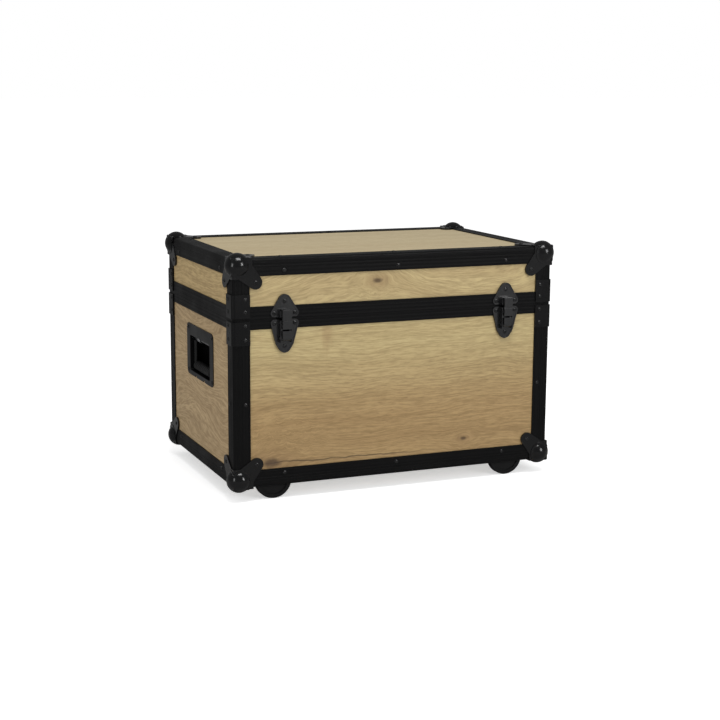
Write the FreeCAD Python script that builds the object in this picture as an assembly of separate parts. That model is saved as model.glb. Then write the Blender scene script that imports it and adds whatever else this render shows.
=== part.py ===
import math
import os

import FreeCAD
import Part

V = FreeCAD.Vector

# All sizes are in millimetres. The case is drawn with its front left bottom corner at zero:
# x runs along the front, y from front to back, z up.

# Case, measured over the edge profiles
width = 600.0
depth = 391.0
height = 392.0
lid_height = 103.0
seam = height - lid_height  # joint between base and lid
seam_gap = 0.2  # each rim stops this far from the joint
floor_gap = 26.0  # underside of the case above the floor

# Panels and edge profiles
panel_thickness = 7.0
leg = 30.0  # width of each profile leg
leg_thickness = 1.8
slot_gap = 0.2  # play of a panel in its slot
flange_thickness = 1.4
flange_reach = 20.0
edge_radius = 4.0
edge_gap = 0.3  # end play of a panel in its slot
groove_depth = 0.35
groove_width = 0.9
groove_places = (0.23, 0.38, 0.53, 0.9)  # parts of the leg width
inner = leg_thickness + panel_thickness + slot_gap
core = inner + flange_thickness

# Rims at the seam
base_rim_leg = 17.0
lid_rim_leg = 22.0
rim_web = 1.6
tongue = (core / 2 - 0.6, core / 2 + 1.4)  # from the face of the case
tongue_height = 4.0
channel = (core / 2 - 2.2, core / 2 + 3.0)
channel_depth = 5.2

# Ball corners
ball_radius = 21.4
ball_inset = 12.0
collar_radius = 19.6
collar_height = 2.6
plate = 1.8
arm_reach = leg + 4.0
lobe_place = leg + 10.0
lobe_radius = 11.8
web_place = leg - 14.0
web_radius = 18.0

# Braces each side of the seam
brace_thickness = 2.0
brace_height = 40.0
brace_seam_gap = 3.0

# Rivets
rivet_line = 0.717 * leg  # from the edge of the case
head_radius = 3.6
head_height = 1.4
shank_radius = 1.6
long_rivet_inset = 91.0
side_rivet_inset = 70.0
grip_depth = leg_thickness + panel_thickness

# Wheels
wheel_radius = 32.5
wheel_width = 13.0
wheel_inset = leg + wheel_radius + 13.1
wheel_height = wheel_radius - floor_gap
wheel_play = 0.8
well_wall = 1.2
well_play = 3.0
wheel_place = core + well_wall + wheel_play  # from the face of the case to the near side of the wheel
well_flange = 10.0
axle_radius = 4.0
running = 0.05

# Latches
latch_inset = 91.0
latch_plate = 2.0
rim_relief = 0.6
relief_edge = 2.2
tongue_width = 16.0
tongue_front = 14.0  # from the face of the case
skin = 2.8
cheek_wall = 1.6
cheek_gap = 1.0
cheek_front = 10.5
lever_pivot = (7.0, seam - 33.0)  # outward from the face, and height
claw_pivot = (8.0, seam - 10.0)
lever_pin_radius = 2.0
claw_pin_radius = 1.5
barrel_radius = 4.5
eye_radius = 3.0
ear_wall = 2.0
lever_top = seam - 20.0
claw_bottom = seam - 17.0
claw_top = seam + 15.4
nose_top = seam + 12.0
nose_front = 8.0

# Side handles
handle_width = 159.0
handle_tall = 94.5
handle_height = seam - 89.0
handle_sheet = 1.5
handle_corner = 10.0
opening_half = 60.0
opening_low = handle_height - 39.0
opening_high = handle_height + 26.0
opening_radius = 6.0
cavity_high = handle_height + 36.0
cavity_depth = 30.0
bail_radius = 4.0
bail_eye = 6.5
bail_eye_width = 7.0
bail_side_play = 2.0
bail_pin_radius = 3.0
bail_drop = 50.0
bail_depth = 10.0
grip_radius = 8.5
grip_length = 92.0
coil_radius = 4.6
wire_radius = 0.6
coil_turns = 6
coil_pitch = 2.6
coil_start = 16.0

# Hinges at the back
hinge_inset = 150.0
hinge_width = 60.0
hinge_offset = 5.0
knuckle_radius = 4.0
knuckle_gap = 0.4
hinge_pin_radius = 2.0
leaf_thickness = 2.0
leaf_length = 36.0
leaf_clearance = 4.0

front_proud = tongue_front
back_proud = ball_radius - ball_inset
origin = V(-width / 2, (front_proud - back_proud - depth) / 2, floor_gap)


# Plain shapes


def block(x0, x1, y0, y1, z0, z1):
    return Part.makeBox(x1 - x0, y1 - y0, z1 - z0, V(x0, y0, z0))


def rod(radius, start, end):
    return Part.makeCylinder(radius, (end - start).Length, start, end - start)


def join(shapes):
    return shapes[0].fuse(shapes[1:]).removeSplitter()


def across(shape):
    """The same piece at the other end of the case."""
    return shape.mirror(V(width / 2, 0, 0), V(1, 0, 0))


def behind(shape):
    """The same piece at the back of the case."""
    return shape.mirror(V(0, depth / 2, 0), V(0, 1, 0))


def four(shape):
    pair = [shape, across(shape)]
    return pair + [behind(s) for s in pair]


def rounded_block(inset, low, high, radius):
    solid = block(inset, width - inset, inset, depth - inset, low, high)
    upright = [e for e in solid.Edges if abs(e.tangentAt(e.FirstParameter).z) > 0.9]
    return solid.makeFillet(radius, upright)


def band(outer, inset, low, high):
    """A rectangular band round the case, between two insets from its faces."""
    if outer == 0:
        solid = rounded_block(0, low, high, edge_radius)
    else:
        solid = block(outer, width - outer, outer, depth - outer, low, high)
    return solid.cut(block(inset, width - inset, inset, depth - inset, low, high))


def disc_hull(discs, start, end):
    """A plate round a ring of (x, z, radius) discs in anticlockwise order, from y start to y end."""
    normals = []
    for (ax, az, ar), (bx, bz, br) in zip(discs, discs[1:] + discs[:1]):
        length = math.hypot(bx - ax, bz - az)
        ux, uz = (bx - ax) / length, (bz - az) / length
        c = (ar - br) / length
        s = math.sqrt(1 - c * c)
        normals.append(V(ux * c + uz * s, 0, uz * c - ux * s))
    edges = []
    for k, (x, z, r) in enumerate(discs):
        centre = V(x, start, z)
        before, after = normals[k - 1], normals[k]
        middle = (before + after).normalize() if (before + after).Length > 1e-6 else V(before.z, 0, -before.x)
        if before.cross(after).y > 1e-9:
            middle = middle.negative()
        arc = Part.Arc(centre + before * r, centre + middle * r, centre + after * r)
        following = discs[(k + 1) % len(discs)]
        target = V(following[0], start, following[1]) + after * following[2]
        edges += [arc.toShape(), Part.makeLine(centre + after * r, target)]
    return Part.Face(Part.Wire(edges)).extrude(V(0, end - start, 0))


# Rivets, gathered for each body as (head, shank) pairs


def rivet(place, outward, stand, grip=grip_depth):
    """A domed rivet whose head sits `stand` outside the face of the case at `place`."""
    seat = place + outward * stand
    dome_radius = (head_radius**2 + head_height**2) / (2 * head_height)
    dome = Part.makeSphere(dome_radius, seat - outward * (dome_radius - head_height))
    head = dome.common(Part.makeCylinder(head_radius + 1, head_height, seat, outward))
    shank = rod(shank_radius, place - outward * grip, seat)
    return head.fuse(shank), shank


front = V(0, -1, 0)
back = V(0, 1, 0)
left = V(-1, 0, 0)
down = V(0, 0, -1)
up = V(0, 0, 1)


def edge_rivets(level, facing):
    """Rivets along the four edges at the bottom or the top of the case."""
    inward = V(0, 0, 1 if facing == down else -1)
    line = level + inward.z * rivet_line
    middle = width / 2
    found = [rivet(V(x, 0, line), front, 0) for x in (long_rivet_inset, middle, width - long_rivet_inset)]
    found += [rivet(V(x, depth, line), back, 0) for x in (long_rivet_inset, middle, width - long_rivet_inset)]
    flat = (middle,) if facing == down else (long_rivet_inset, middle, width - long_rivet_inset)
    for y in (rivet_line, depth - rivet_line):
        found += [rivet(V(x, y, level), facing, 0) for x in flat]
    for y in (side_rivet_inset, depth - side_rivet_inset):
        found += both(rivet(V(0, y, line), left, 0))
        found += both(rivet(V(rivet_line, y, level), facing, 0))
    return found


def both(pair):
    return [pair, tuple(across(s) for s in pair)]


def all_four(pair):
    return [tuple(shapes) for shapes in zip(*(four(s) for s in pair))]


def corner_rivets(level, facing):
    """The three rivets of each ball corner, one in each lobe."""
    high = level - facing.z * lobe_place
    found = []
    for place, outward in (
        (V(lobe_place, 0, high), front),
        (V(0, lobe_place, high), left),
        (V(lobe_place, lobe_place, level), facing),
    ):
        found += all_four(rivet(place, outward, plate))
    return found


def brace_rivets(levels):
    found = []
    for z in levels:
        found += all_four(rivet(V(rivet_line, 0, z), front, brace_thickness))
        found += all_four(rivet(V(0, rivet_line, z), left, brace_thickness))
    return found


def post_rivets(z):
    return all_four(rivet(V(rivet_line, 0, z), front, 0)) + all_four(rivet(V(0, rivet_line, z), left, 0))


def drilled(shape, rivets):
    """The shape with a hole for every rivet shank that reaches it."""
    reached = [shank for _, shank in rivets if shank.BoundBox.intersect(shape.BoundBox)]
    return shape.cut(reached) if reached else shape


# Edge profiles


def edge_face(place):
    """Section of the edge profile; place(u, v) gives the point u and v inward from the case corner."""
    half = groove_width / 2
    grooves = [leg * part for part in groove_places]
    row = [(edge_radius, 0)]
    for g in grooves:
        row += [(g - half, 0), (g, groove_depth), (g + half, 0)]
    row += [(leg, 0), (leg, leg_thickness), (core, leg_thickness), (core, inner), (flange_reach, inner)]
    row += [(flange_reach, core), (core, core)]
    column = [(v, u) for u, v in row[:-1]]
    outline = [place(u, v) for u, v in row + column[::-1]]
    bend = edge_radius * (1 - math.sqrt(0.5))
    corner = Part.Arc(place(0, edge_radius), place(bend, bend), place(edge_radius, 0)).toShape()
    return Part.Face(Part.Wire([corner] + Part.makePolygon(outline).Edges))


def mitred_edge_x():
    bar = edge_face(lambda u, v: V(0, u, v)).extrude(V(width, 0, 0))
    half = depth / 2
    plan = Part.makePolygon([V(0, 0, 0), V(width, 0, 0), V(width - half, half, 0), V(half, half, 0), V(0, 0, 0)])
    return bar.common(Part.Face(plan).extrude(V(0, 0, leg)))


def mitred_edge_y():
    bar = edge_face(lambda u, v: V(u, 0, v)).extrude(V(0, depth, 0))
    half = depth / 2
    plan = Part.makePolygon([V(0, 0, 0), V(0, depth, 0), V(half, half, 0), V(0, 0, 0)])
    return bar.common(Part.Face(plan).extrude(V(0, 0, leg)))


def topside(shape):
    return shape.mirror(V(0, 0, height / 2), V(0, 0, 1))


def posts(low, high):
    bar = edge_face(lambda u, v: V(u, v, low)).extrude(V(0, 0, high - low))
    return four(bar)


def rim_grooves(low, high):
    """Shallow lines round the outside of a rim leg."""
    lines = []
    for part in (0.3, 0.7):
        z = low + part * (high - low)
        lines.append(band(-1, groove_depth, z - groove_width / 2, z + groove_width / 2))
    return lines


def base_rim():
    top = seam - seam_gap
    low = seam - base_rim_leg
    frame = join(
        [
            band(0, leg_thickness, low, top),
            band(0, core, top - rim_web, top),
            band(inner, core, low + 5, top),
            band(tongue[0], tongue[1], top, seam + tongue_height),
        ]
    )
    return frame.cut(rim_grooves(low, top))


def lid_rim():
    low = seam + seam_gap
    high = seam + lid_rim_leg
    roof = seam + channel_depth
    frame = join(
        [
            band(0, leg_thickness, low, high),
            band(0, channel[0], low, roof + rim_web),
            band(channel[1], core, low, roof + rim_web),
            band(0, core, roof, roof + rim_web),
            band(inner, core, low, high - 6),
        ]
    )
    return frame.cut(rim_grooves(low, high))


# Panels


def upright_panels(low, high):
    near, far = leg_thickness, leg_thickness + panel_thickness
    end = core + edge_gap
    face = block(end, width - end, near, far, low, high)
    side = block(near, far, end, depth - end, low, high)
    return face, side


def flat_panel(low):
    end = core + edge_gap
    return block(end, width - end, end, depth - end, low, low + panel_thickness)


# Ball corners


def corner_plate():
    """One face plate of a ball corner, on the face z = 0 and hanging below it."""
    square = block(-plate, arm_reach, -plate, arm_reach, -plate, 0)
    web = disc_hull([(web_place, web_place, web_radius), (lobe_place, lobe_place, lobe_radius)], 0, plate)
    web.rotate(V(0, 0, 0), V(1, 0, 0), -90)
    sheet = square.fuse(web.common(block(-plate, width, -plate, depth, -plate, 0))).removeSplitter()
    over_panel = block(leg + slot_gap, width, leg + slot_gap, depth, -plate, 0)
    pad = sheet.common(over_panel)
    pad.translate(V(0, 0, leg_thickness))
    pad = pad.common(block(0, width, 0, depth, 0, leg_thickness))
    collar = Part.makeCylinder(collar_radius, collar_height, V(ball_inset, ball_inset, -collar_height))
    collar = collar.common(block(-collar_height, width, -collar_height, depth, -collar_height, 0))
    return [sheet, pad, collar]


def ball_corner():
    """A ball corner at the front left bottom corner of the case."""
    pieces = corner_plate()
    turned = []
    for piece in pieces:
        turned.append(piece.rotated(V(0, 0, 0), V(1, 1, 1), 120))
        turned.append(piece.rotated(V(0, 0, 0), V(1, 1, 1), 240))
    centre = V(ball_inset, ball_inset, ball_inset)
    solid = join([Part.makeSphere(ball_radius, centre)] + pieces + turned)
    pads = [pieces[1]] + [turned[2], turned[3]]
    shell = solid.cut(block(0, width, 0, depth, 0, height))
    return join([shell] + pads)


# Braces


def braces(low, high):
    outside = rounded_block(-brace_thickness, low, high, edge_radius + brace_thickness)
    sleeve = outside.cut(rounded_block(0, low, high, edge_radius))
    reach = block(-brace_thickness, leg, -brace_thickness, leg, low, high)
    return [sleeve.common(s) for s in four(reach)]


# Wheels


def wheel_centre():
    return V(wheel_inset, wheel_place, wheel_height)


def wheel():
    near = wheel_centre()
    far = near + V(0, wheel_width, 0)
    tread = rod(wheel_radius, near, far)
    tread = tread.makeFillet(1.5, [e for e in tread.Edges if e.Closed])
    side = wheel_radius - 7
    for start, end in ((near, near + V(0, 2, 0)), (far - V(0, 2, 0), far)):
        dish = rod(side, start, end).cut(rod(axle_radius + 4.5, start, end))
        tread = tread.cut(dish)
    return tread.cut(rod(axle_radius + running, near, far))


def well_size():
    half = wheel_radius + well_play + well_wall
    near = wheel_place - wheel_play - well_wall
    far = wheel_place + wheel_width + wheel_play + well_wall
    roof = wheel_height + wheel_radius + well_play
    return half, near, far, roof


def wheel_well():
    half, near, far, roof = well_size()
    left_end, right_end = wheel_inset - half, wheel_inset + half
    shell = block(left_end, right_end, near, far, 0, roof + well_wall)
    floor = grip_depth
    rim = block(
        left_end - well_flange, right_end + well_flange, flange_reach + 1, far + well_flange, floor, floor + well_wall
    )
    room = block(left_end + well_wall, right_end - well_wall, near + well_wall, far - well_wall, -1, roof)
    bore = rod(axle_radius, V(wheel_inset, 0, wheel_height), V(wheel_inset, far + 1, wheel_height))
    return join([shell, rim]).cut([room, bore])


def wheel_axle():
    half, near, far, roof = well_size()
    return rod(axle_radius, V(wheel_inset, near, wheel_height), V(wheel_inset, far, wheel_height))


def well_cut():
    """Notch through the bottom leg, the inner flange and the bottom panel for one wheel well."""
    half, near, far, roof = well_size()
    return block(wheel_inset - half - 0.2, wheel_inset + half + 0.2, near - 0.1, far + 0.2, -1, leg)


def well_rivets():
    half, near, far, roof = well_size()
    found = []
    for x in (wheel_inset - half - well_flange / 2, wheel_inset + half + well_flange / 2):
        place = V(x, far + well_flange / 2, 0)
        found += all_four(rivet(place, up, grip_depth + well_wall, -leg_thickness))
    return found


# Latches, drawn at x = 0 on the front face; p is the distance in front of the face


def slab(half, p0, p1, z0, z1):
    return block(-half, half, -p1, -p0, z0, z1)


def latch_bar(radius, half, pivot):
    return rod(radius, V(-half, -pivot[0], pivot[1]), V(half, -pivot[0], pivot[1]))


def smaller(discs):
    return [(x, z, r - relief_edge) for x, z, r in discs]


def cheeks(z0, z1):
    inside = tongue_width / 2 + cheek_gap
    walls = []
    for sign in (-1, 1):
        near, far = sorted((sign * inside, sign * (inside + cheek_wall)))
        walls.append(block(near, far, -cheek_front, -latch_plate + 0.8, z0, z1))
    return walls


# Outlines of the latch plates, as (x, z, radius) discs
catch_discs = [(-18.4, seam + 9.4, 6.6), (18.4, seam + 9.4, 6.6), (0.0, seam + 29.5, 11.8)]
ear_discs = [(0.0, seam - 37.0, 17.0), (18.4, seam - 7.8, 6.6), (-18.4, seam - 7.8, 6.6)]
foot_discs = [(0.0, seam - 47.0, 11.5), (0.0, seam - 37.0, 17.0)]


def plate_outline(disc_sets, start, end):
    return join([disc_hull(discs, start, end) for discs in disc_sets])


def embossed(disc_sets):
    """A plate with a raised edge round it."""
    floor = plate_outline([smaller(discs) for discs in disc_sets], -latch_plate - 1, rim_relief - latch_plate)
    return plate_outline(disc_sets, -latch_plate, 0).cut(floor)


def packing(disc_sets, low, high):
    """Fills the step between a latch plate and the panel."""
    return plate_outline(disc_sets, 0, leg_thickness).common(slab(width, -leg_thickness, 0, low, high))


def lower_latch_plate():
    discs = [ear_discs, foot_discs]
    low, high = lever_pivot[1] - 7, seam - 2
    seat = slab(tongue_width / 2 + cheek_gap, latch_plate - 0.8, latch_plate, low, high)
    pieces = [embossed(discs), packing(discs, 0, seam - base_rim_leg - slot_gap), seat] + cheeks(low, high)
    return join(pieces).cut(latch_bar(lever_pin_radius, 30, lever_pivot))


def catch_plate():
    discs = [catch_discs]
    low = catch_discs[0][1] - catch_discs[0][2]
    sheet = embossed(discs)
    backing = packing(discs, seam + lid_rim_leg + slot_gap, height)
    nose = slab(tongue_width / 2 - 0.5, latch_plate - 0.8, nose_front, low, nose_top)
    return join([sheet, backing, nose] + cheeks(low, claw_top - 1.4))


def lever():
    half = tongue_width / 2
    ears = []
    for sign in (-1, 1):
        near, far = sorted((sign * (half - ear_wall), sign * half))
        ears.append(block(near, far, -claw_pivot[0], -lever_pivot[0] + 2, lever_pivot[1], claw_pivot[1]))
        ears.append(rod(eye_radius, V(near, -claw_pivot[0], claw_pivot[1]), V(far, -claw_pivot[0], claw_pivot[1])))
    body = [
        latch_bar(barrel_radius, half, lever_pivot),
        slab(half, lever_pivot[0] - 2, tongue_front, lever_pivot[1], lever_pivot[1] + 9),
        slab(half, tongue_front - skin, tongue_front, lever_pivot[1], lever_top),
    ]
    bores = [latch_bar(lever_pin_radius + running, 30, lever_pivot), latch_bar(claw_pin_radius, 30, claw_pivot)]
    return join(body + ears).cut(bores)


def claw():
    half = tongue_width / 2
    stem = half - ear_wall - 0.4
    step = slab(half + 1, tongue_front - 1.0, tongue_front + 1, seam - 3, seam - 1)
    body = [
        slab(half, tongue_front - skin, tongue_front, claw_bottom, claw_top),
        slab(half, claw_pivot[0] - 4, tongue_front, claw_top - skin, claw_top),
        slab(stem, claw_pivot[0], tongue_front - skin, claw_pivot[1] - eye_radius, claw_pivot[1] + eye_radius),
        latch_bar(eye_radius, stem, claw_pivot),
    ]
    return join(body).cut([step, latch_bar(claw_pin_radius + running, 30, claw_pivot)])


def claw_pin():
    return latch_bar(claw_pin_radius, tongue_width / 2, claw_pivot)


def lever_pin():
    return latch_bar(lever_pin_radius, tongue_width / 2 + cheek_gap + cheek_wall, lever_pivot)


def latch_rivets(discs):
    found = []
    for x, z, _ in discs:
        for side in (latch_inset, width - latch_inset):
            found.append(rivet(V(side + x, 0, z), front, latch_plate - rim_relief))
    return found


def at_latch(shape, right):
    moved = shape.copy()
    moved.translate(V(width - latch_inset if right else latch_inset, 0, 0))
    return moved


# Side handles, drawn on the left face; the right one is its mirror image

handle_middle = depth / 2
handle_face = leg_thickness - handle_sheet
bail_axis_height = opening_high - bail_radius - 0.5
bail_axis_depth = leg_thickness + bail_depth - handle_sheet


def side_sheet(half, low, high, x0, x1, radius):
    solid = block(x0, x1, handle_middle - half, handle_middle + half, low, high)
    along = [e for e in solid.Edges if abs(e.tangentAt(e.FirstParameter).x) > 0.9]
    return solid.makeFillet(radius, along)


def handle_dish():
    wall = handle_sheet
    low = handle_height - handle_tall / 2
    back_face = leg_thickness + cavity_depth
    sheet = side_sheet(handle_width / 2, low, low + handle_tall, handle_face, leg_thickness, handle_corner)
    tray = side_sheet(
        opening_half + wall, opening_low - wall, cavity_high + wall, leg_thickness, back_face + wall, opening_radius
    )
    room = side_sheet(opening_half, opening_low, cavity_high, leg_thickness, back_face, opening_radius - wall)
    mouth = side_sheet(opening_half, opening_low, opening_high, -1, leg_thickness, opening_radius - wall)
    cuts = [room, mouth, bail_rod(bail_pin_radius, opening_half + wall + 1)]
    for offset in (-25, 25):
        y = handle_middle + offset
        cuts.append(block(-1, leg_thickness, y - 4, y + 4, low - 1, low + 3))
    return join([sheet, tray]).cut(cuts)


def bail_rod(radius, half, drop=0.0):
    z = bail_axis_height - drop
    return rod(radius, V(bail_axis_depth, handle_middle - half, z), V(bail_axis_depth, handle_middle + half, z))


def bail():
    arm = opening_half - bail_side_play - bail_eye_width / 2
    pieces = [bail_rod(bail_radius, arm, bail_drop)]
    for sign in (-1, 1):
        y = handle_middle + sign * arm
        foot = V(bail_axis_depth, y, bail_axis_height - bail_drop)
        head = V(bail_axis_depth, y, bail_axis_height)
        side = V(0, bail_eye_width / 2, 0)
        pieces += [rod(bail_radius, foot, head), Part.makeSphere(bail_radius, foot)]
        pieces.append(rod(bail_eye, head - side, head + side))
    return join(pieces).cut(bail_rod(bail_pin_radius + running, opening_half))


def grip():
    tube = bail_rod(grip_radius, grip_length / 2, bail_drop)
    tube = tube.makeFillet(2.5, [e for e in tube.Edges if e.Closed])
    waist = []
    for k in range(-4, 5):
        y = handle_middle + k * grip_length / 10
        z = bail_axis_height - bail_drop
        ring = Part.makeTorus(grip_radius + 0.6, 1.2, V(bail_axis_depth, y, z), V(0, 1, 0))
        waist.append(ring)
    return tube.cut(waist).cut(bail_rod(bail_radius, grip_length, bail_drop))


def bail_spring():
    """A coil round the handle pin, with one leg that bears on the back of the dish."""
    start = V(bail_axis_depth, handle_middle + coil_start, bail_axis_height)
    helix = Part.makeHelix(coil_pitch, coil_pitch * coil_turns, coil_radius)
    profile = Part.Wire(Part.makeCircle(wire_radius, V(coil_radius, 0, 0), V(0, 1, 0)))
    coil = Part.Wire(helix).makePipeShell([profile], True, True)
    coil.rotate(V(0, 0, 0), V(1, 0, 0), -90)
    coil.rotate(V(0, 0, 0), V(0, 1, 0), -90)
    coil.translate(start)
    top = start + V(0, 0, coil_radius)
    bearing = V(leg_thickness + cavity_depth, top.y, top.z)
    return join([coil, Part.makeSphere(wire_radius, top), rod(wire_radius, top, bearing)])


def handle_rivets():
    found = []
    for y in (-1, 1):
        for z in (-1, 1):
            place = V(0, handle_middle + y * (handle_width / 2 - 8), handle_height + z * (handle_tall / 2 - 8))
            found += both(rivet(place, left, -handle_face))
    return found


def handle_hole():
    reach = handle_sheet + slot_gap
    return side_sheet(
        opening_half + reach, opening_low - reach, cavity_high + reach, -1, leg, opening_radius
    )


# Hinges, drawn at x = 0 on the back face

hinge_axis_y = depth + hinge_offset


def hinge_leaf(lid):
    """Leaf, packing over the panel, and the knuckles of one half of a hinge."""
    half = hinge_width / 2
    third = hinge_width / 6
    if lid:
        z0, z1 = seam + leaf_clearance, seam + leaf_clearance + leaf_length
        packing = block(-half, half, depth - leg_thickness, depth, seam + lid_rim_leg + slot_gap, z1)
        spans = [(-third, third)]
        root = (seam, z0 + 1)
    else:
        z0, z1 = seam - leaf_clearance - leaf_length, seam - leaf_clearance
        packing = block(-half, half, depth - leg_thickness, depth, z0, seam - base_rim_leg - slot_gap)
        spans = [(-half, -third - knuckle_gap), (third + knuckle_gap, half)]
        root = (z1 - 1, seam)
    pieces = [block(-half, half, depth, depth + leaf_thickness, z0, z1), packing]
    for x0, x1 in spans:
        pieces.append(rod(knuckle_radius, V(x0, hinge_axis_y, seam), V(x1, hinge_axis_y, seam)))
        pieces.append(block(x0, x1, hinge_axis_y - knuckle_radius, hinge_axis_y - 1, root[0], root[1]))
    bore = hinge_pin_radius + (running if lid else 0)
    return join(pieces).cut(hinge_rod(bore, half + 1))


def hinge_rod(radius, half):
    return rod(radius, V(-half, hinge_axis_y, seam), V(half, hinge_axis_y, seam))


def at_hinges(shape):
    found = []
    for x in (hinge_inset, width - hinge_inset):
        moved = shape.copy()
        moved.translate(V(x, 0, 0))
        found.append(moved)
    return found


def hinge_rivets(levels):
    found = []
    for x in (hinge_inset, width - hinge_inset):
        for offset in (-hinge_width / 3, hinge_width / 3):
            for z in levels:
                found.append(rivet(V(x + offset, depth, z), back, leaf_thickness))
    return found


# Assembly


def base_rivets():
    top = seam - brace_seam_gap
    found = edge_rivets(0, down) + corner_rivets(0, down) + post_rivets(seam / 2)
    found += brace_rivets((top - 7, top - brace_height + 9.5)) + well_rivets() + handle_rivets()
    found += latch_rivets(ear_discs[1:] + foot_discs[:1])
    low = seam - leaf_clearance
    return found + hinge_rivets((low - 8, low - leaf_length + 7))


def lid_rivets():
    low = seam + brace_seam_gap
    found = edge_rivets(height, up) + corner_rivets(height, up)
    found += brace_rivets((low + 10.5, low + brace_height - 8.5))
    found += latch_rivets(catch_discs)
    high = seam + leaf_clearance
    return found + hinge_rivets((high + 9, high + leaf_length - 7))


def base_nodes(rivets):
    panel_top = seam - seam_gap - rim_web - edge_gap
    face, side = upright_panels(core + edge_gap, panel_top)
    cuts = four(well_cut())
    sill_x, sill_y = mitred_edge_x(), mitred_edge_y()
    nodes = {
        "panel_bottom": flat_panel(leg_thickness).cut(cuts),
        "panel_front": face,
        "panel_back": behind(face),
        "panel_left": side.cut(handle_hole()),
        "panel_right": across(side.cut(handle_hole())),
        "sill_front": sill_x.cut(cuts),
        "sill_back": behind(sill_x.cut(cuts)),
        "sill_left": sill_y,
        "sill_right": across(sill_y),
        "posts_base": Part.makeCompound(posts(leg, seam - base_rim_leg)),
        "rim_base": base_rim(),
        "corners_base": Part.makeCompound(four(ball_corner())),
        "braces_base": Part.makeCompound(braces(seam - brace_seam_gap - brace_height, seam - brace_seam_gap)),
        "wheel_wells": Part.makeCompound(four(wheel_well())),
        "latch_plate_left": at_latch(lower_latch_plate(), False),
        "latch_plate_right": at_latch(lower_latch_plate(), True),
        "handle_dish_left": handle_dish(),
        "handle_dish_right": across(handle_dish()),
        "hinge_leaves_base": Part.makeCompound(at_hinges(hinge_leaf(False))),
    }
    nodes = {name: drilled(shape, rivets) for name, shape in nodes.items()}
    nodes["rivets_base"] = Part.makeCompound([whole for whole, _ in rivets])
    nodes["wheel_axles"] = Part.makeCompound(four(wheel_axle()))
    nodes["latch_pins"] = Part.makeCompound([at_latch(lever_pin(), right) for right in (False, True)])
    nodes["hinge_pins"] = Part.makeCompound(at_hinges(hinge_rod(hinge_pin_radius, hinge_width / 2)))
    return nodes


def lid_nodes(rivets):
    panel_low = seam + channel_depth + rim_web + edge_gap
    face, side = upright_panels(panel_low, height - core - edge_gap)
    edge_x, edge_y = topside(mitred_edge_x()), topside(mitred_edge_y())
    low = seam + brace_seam_gap
    nodes = {
        "lid_panel_top": flat_panel(height - leg_thickness - panel_thickness),
        "lid_panel_front": face,
        "lid_panel_back": behind(face),
        "lid_panel_left": side,
        "lid_panel_right": across(side),
        "lid_edge_front": edge_x,
        "lid_edge_back": behind(edge_x),
        "lid_edge_left": edge_y,
        "lid_edge_right": across(edge_y),
        "posts_lid": Part.makeCompound(posts(seam + lid_rim_leg, height - leg)),
        "rim_lid": lid_rim(),
        "corners_lid": Part.makeCompound([topside(s) for s in four(ball_corner())]),
        "braces_lid": Part.makeCompound(braces(low, low + brace_height)),
        "latch_catch_left": at_latch(catch_plate(), False),
        "latch_catch_right": at_latch(catch_plate(), True),
        "hinge_leaves_lid": Part.makeCompound(at_hinges(hinge_leaf(True))),
    }
    nodes = {name: drilled(shape, rivets) for name, shape in nodes.items()}
    nodes["rivets_lid"] = Part.makeCompound([whole for whole, _ in rivets])
    return nodes


def moving_nodes():
    nodes = {}
    for right, side in ((False, "left"), (True, "right")):
        nodes["latch_lever_" + side] = at_latch(lever(), right)
        nodes["latch_claw_" + side] = at_latch(claw(), right)
        nodes["claw_pin_" + side] = at_latch(claw_pin(), right)
    for name, shape in (
        ("handle_bail", bail()),
        ("handle_grip", grip()),
        ("handle_pin", bail_rod(bail_pin_radius, opening_half + handle_sheet)),
        ("handle_spring", bail_spring()),
    ):
        nodes[name + "_left"] = shape
        nodes[name + "_right"] = across(shape)
    for place, shape in zip(("front_left", "front_right", "back_left", "back_right"), four(wheel())):
        nodes["wheel_" + place] = shape
    return nodes


os.makedirs("parts", exist_ok=True)
for node_set in (base_nodes(base_rivets()), lid_nodes(lid_rivets()), moving_nodes()):
    for node, solid in node_set.items():
        solid.translate(origin)
        solid.exportStep("parts/" + node + ".step")
        print(node, len(solid.Solids), round(solid.Volume), solid.isValid())
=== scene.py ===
import math

import bmesh
import bpy
from mathutils import Matrix, Vector


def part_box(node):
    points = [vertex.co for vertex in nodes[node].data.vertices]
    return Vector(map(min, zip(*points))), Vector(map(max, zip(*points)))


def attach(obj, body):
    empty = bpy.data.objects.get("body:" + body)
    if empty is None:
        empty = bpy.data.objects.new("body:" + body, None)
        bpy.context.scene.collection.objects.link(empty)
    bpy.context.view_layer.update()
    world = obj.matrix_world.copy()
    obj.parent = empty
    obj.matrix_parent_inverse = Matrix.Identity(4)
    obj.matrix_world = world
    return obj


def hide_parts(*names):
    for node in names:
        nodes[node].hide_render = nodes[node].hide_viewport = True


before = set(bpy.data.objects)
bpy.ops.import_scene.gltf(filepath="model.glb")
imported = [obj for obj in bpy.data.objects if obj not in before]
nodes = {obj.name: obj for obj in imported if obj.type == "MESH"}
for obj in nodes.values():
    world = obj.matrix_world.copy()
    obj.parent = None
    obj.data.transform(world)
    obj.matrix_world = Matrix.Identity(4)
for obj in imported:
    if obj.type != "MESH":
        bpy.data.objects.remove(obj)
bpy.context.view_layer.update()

scene = bpy.context.scene
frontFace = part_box("sill_front")[0].y
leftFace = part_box("sill_left")[0].x
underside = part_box("sill_front")[0].z
print("frame loaded with", len(nodes), "nodes")


# Small helpers for shader trees

def addNode(tree, kind, **settings):
    node = tree.nodes.new(kind)
    for name, value in settings.items():
        setattr(node, name, value)
    return node


def plug(tree, source, target):
    if isinstance(source, bpy.types.NodeSocket):
        tree.links.new(source, target)
    else:
        target.default_value = source


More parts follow.
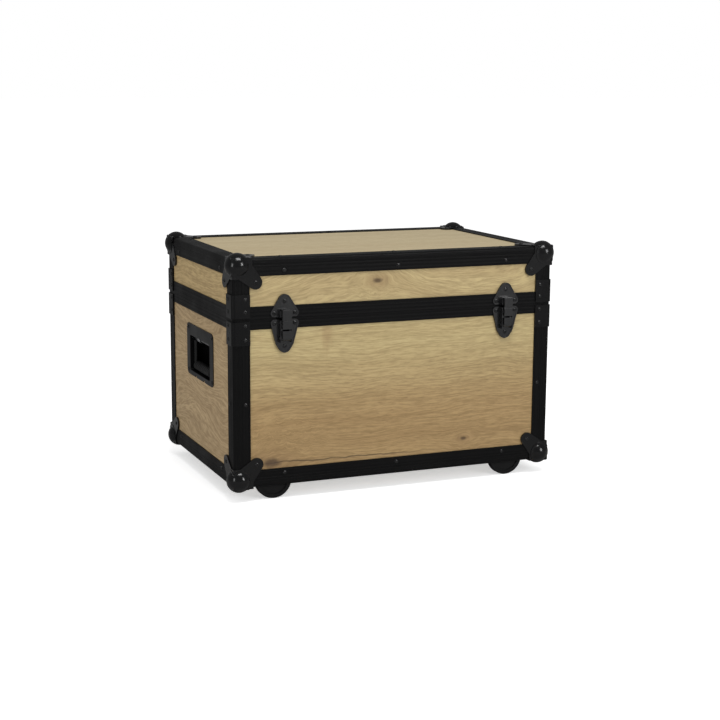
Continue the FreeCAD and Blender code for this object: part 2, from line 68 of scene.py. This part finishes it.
def mathNode(tree, operation, a, b=0.0, c=0.0, clamp=False):
    node = addNode(tree, "ShaderNodeMath", operation=operation, use_clamp=clamp)
    for value, socket in zip((a, b, c), node.inputs):
        plug(tree, value, socket)
    return node.outputs[0]


def remap(tree, value, low, high, newLow=0.0, newHigh=1.0):
    node = addNode(tree, "ShaderNodeMapRange", interpolation_type="SMOOTHSTEP")
    for k, v in enumerate((value, low, high, newLow, newHigh)):
        plug(tree, v, node.inputs[k])
    return node.outputs[0]


def noise(tree, vector, scale, detail=3.0, roughness=0.55, distortion=0.0):
    node = addNode(tree, "ShaderNodeTexNoise")
    plug(tree, vector, node.inputs["Vector"])
    node.inputs["Scale"].default_value = scale
    node.inputs["Detail"].default_value = detail
    node.inputs["Roughness"].default_value = roughness
    node.inputs["Distortion"].default_value = distortion
    return node.outputs["Fac"]


def stretch(tree, vector, scale, shift=(0.0, 0.0, 0.0)):
    node = addNode(tree, "ShaderNodeMapping")
    plug(tree, vector, node.inputs["Vector"])
    node.inputs["Location"].default_value = shift
    node.inputs["Scale"].default_value = scale
    return node.outputs[0]


def blendColours(tree, factor, a, b, mode="MIX"):
    node = addNode(tree, "ShaderNodeMix", data_type="RGBA", blend_type=mode)
    plug(tree, factor, node.inputs[0])
    for value, socket in ((a, node.inputs[6]), (b, node.inputs[7])):
        plug(tree, value if isinstance(value, bpy.types.NodeSocket) else (*value, 1.0), socket)
    return node.outputs[2]


def newGroup(name, inputs, outputs):
    tree = bpy.data.node_groups.new(name, "ShaderNodeTree")
    for label, kind, value in inputs:
        socket = tree.interface.new_socket(name=label, in_out="INPUT", socket_type=kind)
        if value is not None:
            socket.default_value = value
    for label, kind in outputs:
        tree.interface.new_socket(name=label, in_out="OUTPUT", socket_type=kind)
    return tree, addNode(tree, "NodeGroupInput").outputs, addNode(tree, "NodeGroupOutput").inputs


def useGroup(tree, group, **values):
    node = addNode(tree, "ShaderNodeGroup", node_tree=group)
    for label, value in values.items():
        plug(tree, value, node.inputs[label])
    return node.outputs


# A knot: x of the vector runs along the grain, y across it

def makeKnotGroup():
    tree, inp, out = newGroup(
        "woodKnot",
        [
            ("Vector", "NodeSocketVector", None),
            ("Place", "NodeSocketVector", None),
            ("Size", "NodeSocketFloat", 0.02),
        ],
        [("Core", "NodeSocketFloat"), ("Halo", "NodeSocketFloat"), ("Bend", "NodeSocketFloat")],
    )
    offset = addNode(tree, "ShaderNodeVectorMath", operation="SUBTRACT")
    plug(tree, inp["Vector"], offset.inputs[0])
    plug(tree, inp["Place"], offset.inputs[1])
    ragged = addNode(tree, "ShaderNodeVectorMath", operation="MULTIPLY")
    plug(tree, offset.outputs[0], ragged.inputs[0])
    ragged.inputs[1].default_value = (0.55, 1.0, 0.0)
    length = addNode(tree, "ShaderNodeVectorMath", operation="LENGTH")
    plug(tree, ragged.outputs[0], length.inputs[0])
    wobble = noise(tree, inp["Vector"], 90.0, 2.0)
    ratio = mathNode(tree, "DIVIDE", length.outputs["Value"], inp["Size"])
    ratio = mathNode(tree, "MULTIPLY", ratio, mathNode(tree, "ADD", wobble, 0.55))
    plug(tree, remap(tree, ratio, 0.55, 0.15), out["Core"])
    plug(tree, remap(tree, ratio, 1.6, 0.3), out["Halo"])
    split = addNode(tree, "ShaderNodeSeparateXYZ")
    plug(tree, offset.outputs[0], split.inputs[0])
    squared = mathNode(tree, "MULTIPLY", ratio, ratio)
    fade = mathNode(tree, "POWER", 2.718, mathNode(tree, "MULTIPLY", squared, -0.35))
    plug(tree, mathNode(tree, "MULTIPLY", split.outputs["Y"], fade), out["Bend"])
    return tree


# Oak figure: growth lines, cathedral arches, streaks and open pores

def makeOakGroup():
    tree, inp, out = newGroup(
        "oakFigure",
        [
            ("Vector", "NodeSocketVector", None),
            ("Bend", "NodeSocketFloat", 0.0),
            ("Arches", "NodeSocketFloat", 0.4),
            ("Contrast", "NodeSocketFloat", 1.0),
        ],
        [(label, "NodeSocketFloat") for label in ("Tone", "Lines", "Pores", "Height")],
    )
    split = addNode(tree, "ShaderNodeSeparateXYZ")
    plug(tree, inp["Vector"], split.inputs[0])
    drift = noise(tree, stretch(tree, inp["Vector"], (2.2, 5.5, 1.0)), 1.0, 3.0)
    ripple = noise(tree, stretch(tree, inp["Vector"], (9.0, 38.0, 1.0)), 1.0, 2.0)
    sway = mathNode(tree, "MULTIPLY_ADD", inp["Arches"], 0.09, 0.02)
    across = mathNode(tree, "ADD", mathNode(tree, "MULTIPLY", drift, sway), split.outputs["Y"])
    across = mathNode(tree, "MULTIPLY_ADD", ripple, 0.006, across)
    across = mathNode(tree, "SUBTRACT", across, inp["Bend"])
    # arches: contours of a long shallow hill
    hill = noise(tree, stretch(tree, inp["Vector"], (3.2, 7.0, 1.0), (4.0, 7.0, 0.0)), 1.0, 1.5)
    arched = mathNode(tree, "MULTIPLY", mathNode(tree, "MULTIPLY", hill, inp["Arches"]), 0.4)
    across = mathNode(tree, "ADD", across, arched)
    flow = addNode(tree, "ShaderNodeCombineXYZ")
    plug(tree, split.outputs["X"], flow.inputs[0])
    plug(tree, across, flow.inputs[1])
    broad = noise(tree, stretch(tree, flow.outputs[0], (0.9, 26.0, 1.0)), 1.0, 3.0, 0.6)
    lines = noise(tree, stretch(tree, flow.outputs[0], (5.0, 190.0, 1.0)), 1.0, 3.0, 0.65)
    fine = noise(tree, stretch(tree, flow.outputs[0], (42.0, 400.0, 1.0)), 1.0, 2.0, 0.6)
    pores = noise(tree, stretch(tree, flow.outputs[0], (70.0, 900.0, 1.0), (3.0, 1.0, 0.0)), 1.0, 1.0, 0.5)
    plug(tree, remap(tree, broad, 0.3, 0.7), out["Tone"])
    sharp = mathNode(tree, "MULTIPLY_ADD", fine, 0.55, mathNode(tree, "MULTIPLY", lines, 0.45))
    sharp = remap(tree, sharp, 0.36, 0.64)
    centred = mathNode(tree, "MULTIPLY", mathNode(tree, "SUBTRACT", sharp, 0.5), inp["Contrast"])
    plug(tree, mathNode(tree, "ADD", centred, 0.5, clamp=True), out["Lines"])
    poreMask = remap(tree, pores, 0.61, 0.72)
    plug(tree, poreMask, out["Pores"])
    raised = mathNode(tree, "MULTIPLY_ADD", poreMask, -0.7, mathNode(tree, "MULTIPLY", sharp, 0.3))
    plug(tree, raised, out["Height"])
    return tree


# Handling marks for painted and anodised metal

def makeWearGroup():
    tree, inp, out = newGroup(
        "metalWear",
        [("Vector", "NodeSocketVector", None), ("Scale", "NodeSocketFloat", 1.0)],
        [("Smudge", "NodeSocketFloat"), ("Speckle", "NodeSocketFloat"), ("Scratch", "NodeSocketFloat")],
    )
    scaled = addNode(tree, "ShaderNodeVectorMath", operation="SCALE")
    plug(tree, inp["Vector"], scaled.inputs[0])
    plug(tree, inp["Scale"], scaled.inputs["Scale"])
    vector = scaled.outputs[0]
    plug(tree, noise(tree, vector, 14.0, 4.0), out["Smudge"])
    plug(tree, noise(tree, vector, 1400.0, 1.0), out["Speckle"])
    lines = noise(tree, stretch(tree, vector, (55.0, 700.0, 900.0)), 1.0, 2.0, 0.4)
    rare = noise(tree, vector, 30.0, 1.0)
    scratch = mathNode(tree, "MULTIPLY", remap(tree, lines, 0.66, 0.78), remap(tree, rare, 0.5, 0.7))
    plug(tree, scratch, out["Scratch"])
    return tree


# Fine drawn ribs that run the length of a profile, on whichever face is seen
caseOutline = {
    "halfWidth": 0.3, "halfDepth": 0.1955, "middle": 0.0023,
    "low": 0.026, "high": 0.418, "seam": 0.315, "leg": 0.03, "blend": 0.0005, "ribsPerMetre": 160.0,
}


def makeRibGroup():
    tree, inp, out = newGroup(
        "drawnRibs",
        [("Vector", "NodeSocketVector", None), ("Ribs", "NodeSocketFloat", caseOutline["ribsPerMetre"])],
        [("Height", "NodeSocketFloat")],
    )
    split = addNode(tree, "ShaderNodeSeparateXYZ")
    plug(tree, inp["Vector"], split.inputs[0])
    fromMiddle = mathNode(tree, "SUBTRACT", split.outputs["Y"], caseOutline["middle"])
    inset = [
        mathNode(tree, "SUBTRACT", mathNode(tree, "ABSOLUTE", split.outputs["X"]), caseOutline["halfWidth"]),
        mathNode(tree, "SUBTRACT", mathNode(tree, "ABSOLUTE", fromMiddle), caseOutline["halfDepth"]),
    ]
    height = split.outputs["Z"]
    lowEdge = mathNode(tree, "SUBTRACT", height, caseOutline["low"])
    highEdge = mathNode(tree, "SUBTRACT", caseOutline["high"], height)
    seamEdge = mathNode(tree, "ABSOLUTE", mathNode(tree, "SUBTRACT", height, caseOutline["seam"]))
    level = mathNode(tree, "MINIMUM", mathNode(tree, "MINIMUM", lowEdge, highEdge), seamEdge)
    # near a level edge that edge sets the ribs, elsewhere the upright's corner does
    corner = mathNode(tree, "MINIMUM", *inset)
    leg, blend = caseOutline["leg"], caseOutline["blend"]
    onLevel = remap(tree, level, leg + blend, leg - blend)
    onCorner = mathNode(tree, "SUBTRACT", 1.0, onLevel)
    levelPart = mathNode(tree, "MULTIPLY", level, onLevel)
    across = mathNode(tree, "ADD", levelPart, mathNode(tree, "MULTIPLY", corner, onCorner))
    turns = mathNode(tree, "MULTIPLY", inp["Ribs"], 2 * math.pi)
    wave = mathNode(tree, "SINE", mathNode(tree, "MULTIPLY", across, turns))
    plug(tree, mathNode(tree, "MULTIPLY_ADD", wave, 0.5, 0.5), out["Height"])
    return tree


ribGroup = makeRibGroup()
knotGroup = makeKnotGroup()
oakGroup = makeOakGroup()
wearGroup = makeWearGroup()


def newMaterial(name):
    material = bpy.data.materials.new(name)
    material.use_nodes = True
    tree = material.node_tree
    shader = tree.nodes["Principled BSDF"]
    place = addNode(tree, "ShaderNodeTexCoord").outputs["Object"]
    return material, tree, shader, place


def addBump(tree, shader, height, strength, distance):
    bump = addNode(tree, "ShaderNodeBump")
    bump.inputs["Strength"].default_value = strength
    bump.inputs["Distance"].default_value = distance
    plug(tree, height, bump.inputs["Height"])
    plug(tree, bump.outputs[0], shader.inputs["Normal"])


# Boards. Knots are given as (along, across, size) in metres from the left end and the underside.
# A span pair (top, bottom), in metres above the underside, sets where painted shade darkens a board towards
# its lower edge; (-1, -2) means none.
boards = {
    "front": {
        "nodes": ["panel_front"],
        "axes": ("X", "Z"), "shift": (0.0, 0.0), "arches": 0.12, "contrast": 1.1,
        "light": (0.470, 0.382, 0.190), "dark": (0.310, 0.225, 0.100),
        "knots": [(0.068, 0.040, 0.022), (0.432, 0.052, 0.009)],
        "lowShadeSpan": (0.27, 0.10),
        "stains": [(0.168, 0.262, 0.011), (0.497, 0.262, 0.009)], "crack": True,
    },
    "back": {
        "nodes": ["panel_back"],
        "axes": ("X", "Z"), "shift": (3.1, 0.7), "arches": 0.15, "contrast": 1.1,
        "light": (0.490, 0.393, 0.196), "dark": (0.330, 0.240, 0.108),
        "knots": [(0.40, 0.16, 0.016)],
        "lowShadeSpan": (0.27, 0.10),
        "stains": [], "crack": False,
    },
    "lidLong": {
        "nodes": ["lid_panel_front", "lid_panel_back"],
        "axes": ("X", "Z"), "shift": (1.7, 0.31), "arches": 0.4, "contrast": 1.2,
        "light": (0.440, 0.345, 0.170), "dark": (0.290, 0.205, 0.095),
        "knots": [(0.262, 0.345, 0.012)],
        "lowShadeSpan": (-1.0, -2.0),
        "stains": [], "crack": False,
    },
    "ends": {
        "nodes": ["panel_left", "panel_right"],
        "axes": ("Y", "Z"), "shift": (5.3, 1.13), "arches": 0.45, "contrast": 1.3,
        "light": (0.465, 0.335, 0.180), "dark": (0.275, 0.182, 0.088),
        "knots": [],
        "lowShadeSpan": (-1.0, -2.0),
        "stains": [], "crack": False,
    },
    "lidEnds": {
        "nodes": ["lid_panel_left", "lid_panel_right"],
        "axes": ("Y", "Z"), "shift": (7.9, 2.2), "arches": 0.3, "contrast": 1.2,
        "light": (0.500, 0.365, 0.170), "dark": (0.320, 0.210, 0.090),
        "knots": [],
        "lowShadeSpan": (-1.0, -2.0),
        "stains": [], "crack": False,
    },
    "top": {
        "nodes": ["lid_panel_top", "panel_bottom"],
        "axes": ("X", "Y"), "shift": (9.4, 3.7), "arches": 0.12, "contrast": 0.7,
        "light": (0.510, 0.425, 0.262), "dark": (0.400, 0.312, 0.178),
        "knots": [],
        "lowShadeSpan": (-1.0, -2.0),
        "stains": [], "crack": False,
    },
}


oakLook = {
    "tone": 0.45, "lines": 0.5, "lineShade": 0.6, "pores": 0.35, "poreColour": (0.16, 0.10, 0.05),
    # strength and tint of the painted shade at a board's lower edge
    "lowShadeDepth": 0.8, "lowShadeTint": (0.64, 0.49, 0.41),
    "haloColour": (0.20, 0.12, 0.055), "coreColour": (0.055, 0.032, 0.018),
    "stainColour": (0.22, 0.135, 0.06), "stainStretch": (2.0, 0.34),
}
crack = {
    "height": 0.0335, "slope": -0.012, "wander": 0.014, "hairline": 0.0004, "open": 0.0028,
    "from": (0.04, 0.09), "to": (0.42, 0.26), "colour": (0.045, 0.028, 0.016),
}


def makeOak(name, board):
    material, tree, shader, place = newMaterial("oak" + name[0].upper() + name[1:])
    split = addNode(tree, "ShaderNodeSeparateXYZ")
    plug(tree, place, split.inputs[0])
    start = {"X": leftFace, "Y": frontFace, "Z": underside}
    along = mathNode(tree, "SUBTRACT", split.outputs[board["axes"][0]], start[board["axes"][0]])
    across = mathNode(tree, "SUBTRACT", split.outputs[board["axes"][1]], start[board["axes"][1]])
    flat = addNode(tree, "ShaderNodeCombineXYZ")
    plug(tree, along, flat.inputs[0])
    plug(tree, across, flat.inputs[1])
    bend, core, halo = 0.0, 0.0, 0.0
    for x, y, size in board["knots"]:
        knot = useGroup(tree, knotGroup, Vector=flat.outputs[0], Place=(x, y, 0.0), Size=size)
        bend = mathNode(tree, "ADD", knot["Bend"], bend)
        core = mathNode(tree, "MAXIMUM", knot["Core"], core)
        halo = mathNode(tree, "MAXIMUM", knot["Halo"], halo)
    moved = stretch(tree, flat.outputs[0], (1.0, 1.0, 1.0), (*board["shift"], 0.0))
    figure = useGroup(
        tree, oakGroup, Vector=moved, Bend=bend, Arches=board["arches"], Contrast=board["contrast"]
    )
    toneDepth = mathNode(tree, "MULTIPLY", figure["Tone"], oakLook["tone"])
    colour = blendColours(tree, toneDepth, board["light"], board["dark"])
    lineDepth = mathNode(tree, "MULTIPLY", figure["Lines"], oakLook["lines"])
    colour = blendColours(tree, lineDepth, colour, [c * oakLook["lineShade"] for c in board["dark"]])
    poreDepth = mathNode(tree, "MULTIPLY", figure["Pores"], oakLook["pores"])
    colour = blendColours(tree, poreDepth, colour, oakLook["poreColour"])
    low, high = board["lowShadeSpan"][1], board["lowShadeSpan"][0]
    if high > low:  # painted shade: the board is darkened and warmed towards its lower edge
        lowShade = remap(tree, across, high, low, 0.0, oakLook["lowShadeDepth"])
        shadedColour = blendColours(tree, 1.0, colour, oakLook["lowShadeTint"], "MULTIPLY")
        colour = blendColours(tree, lowShade, colour, shadedColour)
    if board["knots"]:
        colour = blendColours(tree, mathNode(tree, "MULTIPLY", halo, 0.42), colour, oakLook["haloColour"])
        colour = blendColours(tree, mathNode(tree, "MULTIPLY", core, 0.8), colour, oakLook["coreColour"])
    for x, y, size in board["stains"]:
        narrow, tall = oakLook["stainStretch"]
        upright = stretch(tree, flat.outputs[0], (narrow, tall, 1.0))
        stain = useGroup(tree, knotGroup, Vector=upright, Place=(x * narrow, y * tall, 0.0), Size=size)
        stainDepth = mathNode(tree, "MULTIPLY", stain["Halo"], 0.4)
        colour = blendColours(tree, stainDepth, colour, oakLook["stainColour"])
    if board["crack"]:
        wave = noise(tree, stretch(tree, flat.outputs[0], (16.0, 1.0, 1.0)), 1.0, 3.0)
        slope = mathNode(tree, "MULTIPLY_ADD", along, crack["slope"], crack["height"])
        path = mathNode(tree, "MULTIPLY_ADD", wave, crack["wander"], slope)
        gap = mathNode(tree, "ABSOLUTE", mathNode(tree, "SUBTRACT", across, path))
        thin = noise(tree, stretch(tree, flat.outputs[0], (30.0, 1.0, 1.0), (5.0, 0.0, 0.0)), 1.0, 2.0)
        halfOpen = mathNode(tree, "MULTIPLY_ADD", thin, crack["open"], crack["hairline"])
        mark = remap(tree, gap, halfOpen, 0.0)
        ends = mathNode(tree, "MULTIPLY", remap(tree, along, *crack["from"]), remap(tree, along, *crack["to"]))
        mark = mathNode(tree, "MULTIPLY", mark, ends)
        colour = blendColours(tree, mathNode(tree, "MULTIPLY", mark, 0.85), colour, crack["colour"])
    plug(tree, colour, shader.inputs["Base Color"])
    plug(tree, remap(tree, figure["Lines"], 0.0, 1.0, 0.5, 0.62), shader.inputs["Roughness"])
    shader.inputs["Specular IOR Level"].default_value = 0.3
    addBump(tree, shader, figure["Height"], 0.35, 0.0002)
    return material


# Metals and rubbers: colour, two roughness limits, gloss, bump
finishes = {
    "profileBlack": {
        "colour": (0.0030, 0.0030, 0.0031), "worn": (0.009, 0.009, 0.0093),
        "rough": (0.36, 0.48), "gloss": 0.1, "bump": 0.1, "ridges": 0.5,
    },
    "steelBlack": {
        "colour": (0.0022, 0.0022, 0.0024), "worn": (0.010, 0.010, 0.011),
        "rough": (0.14, 0.22), "gloss": 0.42, "bump": 0.03,
    },
    "sheetBlack": {
        "colour": (0.0034, 0.0034, 0.0036), "worn": (0.014, 0.014, 0.0145),
        "rough": (0.26, 0.38), "gloss": 0.18, "bump": 0.1,
    },
    "latchBlack": {
        "colour": (0.0055, 0.0055, 0.006), "worn": (0.026, 0.026, 0.028),
        "rough": (0.17, 0.27), "gloss": 0.75, "bump": 0.05,
    },
    "rivetBlack": {
        "colour": (0.003, 0.003, 0.0032), "worn": (0.02, 0.02, 0.021),
        "rough": (0.2, 0.3), "gloss": 0.5, "bump": 0.03,
    },
    "pinBright": {
        "colour": (0.32, 0.32, 0.33), "worn": (0.45, 0.45, 0.45),
        "rough": (0.25, 0.4), "gloss": 0.5, "bump": 0.05, "metal": 1.0,
    },
    "gripRubber": {
        "colour": (0.005, 0.005, 0.0052), "worn": (0.015, 0.015, 0.015),
        "rough": (0.5, 0.65), "gloss": 0.25, "bump": 0.4,
    },
    "wheelRubber": {
        "colour": (0.004, 0.004, 0.0042), "worn": (0.012, 0.012, 0.012),
        "rough": (0.45, 0.6), "gloss": 0.22, "bump": 0.3,
    },
}


def makeFinish(name, finish):
    material, tree, shader, place = newMaterial(name)
    wear = useGroup(tree, wearGroup, Vector=place, Scale=1.0)
    smudged = remap(tree, wear["Smudge"], 0.55, 0.85, 0.0, 0.12)
    worn = mathNode(tree, "MULTIPLY_ADD", wear["Scratch"], 0.5, smudged)
    plug(tree, blendColours(tree, worn, finish["colour"], finish["worn"]), shader.inputs["Base Color"])
    plug(tree, remap(tree, wear["Smudge"], 0.3, 0.7, *finish["rough"]), shader.inputs["Roughness"])
    shader.inputs["Metallic"].default_value = finish.get("metal", 0.0)
    shader.inputs["Specular IOR Level"].default_value = finish["gloss"]
    grain = mathNode(tree, "MULTIPLY_ADD", wear["Scratch"], -0.6, wear["Speckle"])
    grain = mathNode(tree, "MULTIPLY", grain, finish["bump"])
    if finish.get("ridges"):
        ribs = useGroup(tree, ribGroup, Vector=place)
        grain = mathNode(tree, "MULTIPLY_ADD", ribs["Height"], finish["ridges"], grain)
    addBump(tree, shader, grain, 1.0, 0.00025)
    return material


materials = {name: makeFinish(name, finish) for name, finish in finishes.items()}
print("materials made")


def dress(names, material, bevel=0.0):
    for name in names:
        piece = nodes[name]
        piece.data.materials.clear()
        piece.data.materials.append(material)
        for polygon in piece.data.polygons:
            polygon.material_index = 0
        if bevel:
            edge = piece.modifiers.new("softEdges", "BEVEL")
            edge.width = bevel
            edge.segments = 2
            edge.limit_method = "ANGLE"
            edge.angle_limit = math.radians(50)
            edge.harden_normals = False


for boardName, board in boards.items():
    dress(board["nodes"], makeOak(boardName, board))

sides = ("left", "right")
edgeNodes = ["posts_base", "rim_base", "posts_lid", "rim_lid"]
edgeNodes += [part + side for part in ("sill_", "lid_edge_") for side in ("front", "back", *sides)]
dress(edgeNodes, materials["profileBlack"])


def bothSides(*parts):
    return [part + side for side in sides for part in parts]


sheetNodes = ["braces_base", "braces_lid", "hinge_leaves_base", "hinge_leaves_lid", "wheel_wells"]
dress(["corners_base", "corners_lid"], materials["steelBlack"], 0.0005)
dress(sheetNodes, materials["sheetBlack"], 0.0004)
dress(bothSides("handle_dish_"), materials["sheetBlack"], 0.0003)
dress(bothSides("latch_plate_", "latch_catch_"), materials["latchBlack"], 0.0003)
dress(bothSides("latch_lever_", "latch_claw_"), materials["latchBlack"], 0.0004)
dress(bothSides("handle_bail_"), materials["steelBlack"])
dress(bothSides("handle_grip_"), materials["gripRubber"])
dress(["wheel_axles", "latch_pins", "hinge_pins"], materials["pinBright"])
dress(bothSides("claw_pin_", "handle_pin_", "handle_spring_"), materials["pinBright"])
dress(bothSides("wheel_front_", "wheel_back_"), materials["wheelRubber"])
print("boards and metal dressed")


# Rivets with a drilled centre, each set where the frame's own rivet stands
rivetShape = {
    "headRadius": 0.0036, "headHeight": 0.0014, "shankRadius": 0.0016,
    "holeRadius": 0.0010, "holeDepth": 0.0009, "sides": 28, "domeSteps": 8,
}


def looseParts(mesh):
    parent = list(range(len(mesh.vertices)))

    def root(k):
        while parent[k] != k:
            parent[k] = parent[parent[k]]
            k = parent[k]
        return k

    for edge in mesh.edges:
        a, b = root(edge.vertices[0]), root(edge.vertices[1])
        if a != b:
            parent[max(a, b)] = min(a, b)
    groups = {}
    for vertex in mesh.vertices:
        groups.setdefault(root(vertex.index), []).append(vertex.co)
    return list(groups.values())


def joinByPlace(mesh):
    work = bmesh.new()
    work.from_mesh(mesh)
    bmesh.ops.remove_doubles(work, verts=work.verts, dist=0.00001)
    copy = bpy.data.meshes.new("rivetCopy")
    work.to_mesh(copy)
    work.free()
    return copy


def rivetPlaces(node):
    found = []
    for points in looseParts(joinByPlace(nodes[node].data)):
        low = Vector(min(p[k] for p in points) for k in range(3))
        high = Vector(max(p[k] for p in points) for k in range(3))
        size = high - low
        centre = (low + high) / 2
        axis = max(range(3), key=lambda k: size[k])
        wide = max(points, key=lambda p: sum((p[k] - centre[k]) ** 2 for k in range(3) if k != axis))
        outward = Vector((0, 0, 0))
        outward[axis] = 1.0 if wide[axis] > centre[axis] else -1.0
        seat = centre + outward * (size[axis] / 2 - rivetShape["headHeight"])
        found.append((seat, outward, size[axis] - rivetShape["headHeight"]))
    return found


def rivetOutline(depth):
    r, h = rivetShape["headRadius"], rivetShape["headHeight"]
    hole, lowShadeSpan = rivetShape["holeRadius"], rivetShape["holeDepth"]
    brim = hole * 1.15
    outline = [(0.0, h - lowShadeSpan), (hole * 0.8, h - lowShadeSpan), (hole, h - lowShadeSpan + 0.0002)]
    outline += [(hole, h - 0.0003), (brim, h - 0.00005)]
    for step in range(1, rivetShape["domeSteps"] + 1):
        angle = math.pi / 2 * step / rivetShape["domeSteps"]
        outline.append((brim + (r - brim) * math.sin(angle), max(0.0, h * math.cos(angle))))
    outline += [(rivetShape["shankRadius"], 0.0), (rivetShape["shankRadius"], -depth), (0.0, -depth)]
    return outline


def buildRivets(node, name, body):
    shape = bmesh.new()
    count = rivetShape["sides"]
    for seat, outward, depth in rivetPlaces(node):
        turn = outward.to_track_quat("Z", "X").to_matrix().to_4x4()
        place = Matrix.Translation(seat) @ turn
        rings = []
        for radius, height in rivetOutline(depth):
            if radius == 0.0:
                rings.append([shape.verts.new(place @ Vector((0, 0, height)))])
                continue
            ring = []
            for k in range(count):
                angle = 2 * math.pi * k / count
                point = Vector((radius * math.cos(angle), radius * math.sin(angle), height))
                ring.append(shape.verts.new(place @ point))
            rings.append(ring)
        for inner, outer in zip(rings, rings[1:]):
            for k in range(count):
                following = (k + 1) % count
                if len(inner) == 1:
                    shape.faces.new((inner[0], outer[k], outer[following]))
                elif len(outer) == 1:
                    shape.faces.new((inner[k], outer[0], inner[following]))
                else:
                    shape.faces.new((inner[k], outer[k], outer[following], inner[following]))
    bmesh.ops.recalc_face_normals(shape, faces=shape.faces)
    mesh = bpy.data.meshes.new(name)
    shape.to_mesh(mesh)
    shape.free()
    mesh.polygons.foreach_set("use_smooth", [True] * len(mesh.polygons))
    mesh.set_sharp_from_angle(angle=math.radians(50))
    mesh.materials.append(materials["rivetBlack"])
    piece = bpy.data.objects.new(name, mesh)
    scene.collection.objects.link(piece)
    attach(piece, body)
    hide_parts(node)


buildRivets("rivets_base", "rivetsOnBase", "base")
buildRivets("rivets_lid", "rivetsOnLid", "lid")
print("rivets set")


# Floor, light and camera
studio = {
    "floorColour": (0.86, 0.86, 0.86), "floorMirrored": (0.3, 0.3, 0.3), "floorLift": 0.52, "floorReach": 40.0,
    "ambient": 0.62, "mirrored": 0.22, "skyWhite": 1.0, "aim": (0.0, 0.0, 0.2),
    "lamps": [
        {"name": "overhead", "place": (-0.1, -1.1, 2.5), "size": (1.3, 0.8), "power": 34.0},
        {"name": "frontFill", "place": (1.6, -3.4, 1.4), "size": (0.8, 1.5), "power": 44.0},
        {"name": "leftStrip", "place": (-3.0, -1.7, 0.9), "size": (0.4, 1.4), "power": 15.0},
    ],
}
shot = {
    "place": (-1.06406, -2.58069, 0.7188), "azimuth": -22.59, "elevation": 10.61, "roll": 0.36,
    "lens": 76.19, "sensor": 36.0,
}


def lightPath(tree):
    return addNode(tree, "ShaderNodeLightPath").outputs


def makeFloor():
    mesh = bpy.data.meshes.new("floor")
    reach = studio["floorReach"]
    corners = [(-reach, -reach, 0.0), (reach, -reach, 0.0), (reach, reach, 0.0), (-reach, reach, 0.0)]
    mesh.from_pydata(corners, [], [(0, 1, 2, 3)])
    floor = bpy.data.objects.new("floor", mesh)
    scene.collection.objects.link(floor)
    material, tree, shader, place = newMaterial("floorWhite")
    shader.inputs["Roughness"].default_value = 0.9
    shader.inputs["Specular IOR Level"].default_value = 0.0
    shader.inputs["Emission Color"].default_value = (1.0, 1.0, 1.0, 1.0)
    rays = lightPath(tree)
    lift = mathNode(tree, "MULTIPLY", rays["Is Camera Ray"], studio["floorLift"])
    plug(tree, lift, shader.inputs["Emission Strength"])
    mottled = [c * 0.985 for c in studio["floorColour"]]
    paper = blendColours(tree, noise(tree, place, 45.0, 3.0), studio["floorColour"], mottled)
    seenPaper = blendColours(tree, rays["Is Glossy Ray"], paper, studio["floorMirrored"])
    plug(tree, seenPaper, shader.inputs["Base Color"])
    mesh.materials.append(material)


def makeSky():
    sky = bpy.data.worlds.new("studioSky")
    sky.use_nodes = True
    tree = sky.node_tree
    background = tree.nodes["Background"]
    background.inputs["Color"].default_value = (1.0, 1.0, 1.0, 1.0)
    rays = lightPath(tree)
    seen = mathNode(tree, "MAXIMUM", rays["Is Camera Ray"], rays["Is Transmission Ray"])
    level = mathNode(tree, "MULTIPLY_ADD", seen, studio["skyWhite"] - studio["ambient"], studio["ambient"])
    dimmed = studio["mirrored"] - studio["ambient"]
    level = mathNode(tree, "MULTIPLY_ADD", rays["Is Glossy Ray"], dimmed, level)
    plug(tree, level, background.inputs["Strength"])
    scene.world = sky


def makeLamp(lamp):
    data = bpy.data.lights.new(lamp["name"], "AREA")
    data.shape = "RECTANGLE"
    data.size, data.size_y = lamp["size"]
    data.energy = lamp["power"]
    obj = bpy.data.objects.new(lamp["name"], data)
    obj.location = lamp["place"]
    obj.rotation_euler = (Vector(studio["aim"]) - Vector(lamp["place"])).to_track_quat("-Z", "Y").to_euler()
    scene.collection.objects.link(obj)


def makeCamera():
    data = bpy.data.cameras.new("camera")
    data.lens = shot["lens"]
    data.sensor_width = shot["sensor"]
    data.clip_end = 200.0
    camera = bpy.data.objects.new("camera", data)
    a, e, roll = (math.radians(shot[key]) for key in ("azimuth", "elevation", "roll"))
    back = Vector((math.sin(a) * math.cos(e), -math.cos(a) * math.cos(e), math.sin(e)))
    right = (-back).cross(Vector((0, 0, 1))).normalized()
    up = back.cross(right)
    turnedRight = right * math.cos(roll) + up * math.sin(roll)
    turnedUp = up * math.cos(roll) - right * math.sin(roll)
    rotation = Matrix((turnedRight, turnedUp, back)).transposed().to_4x4()
    camera.matrix_world = Matrix.Translation(shot["place"]) @ rotation
    scene.collection.objects.link(camera)
    scene.camera = camera


makeFloor()
makeSky()
for lampFacts in studio["lamps"]:
    makeLamp(lampFacts)
makeCamera()
scene.view_settings.view_transform = "Standard"
print("studio ready")
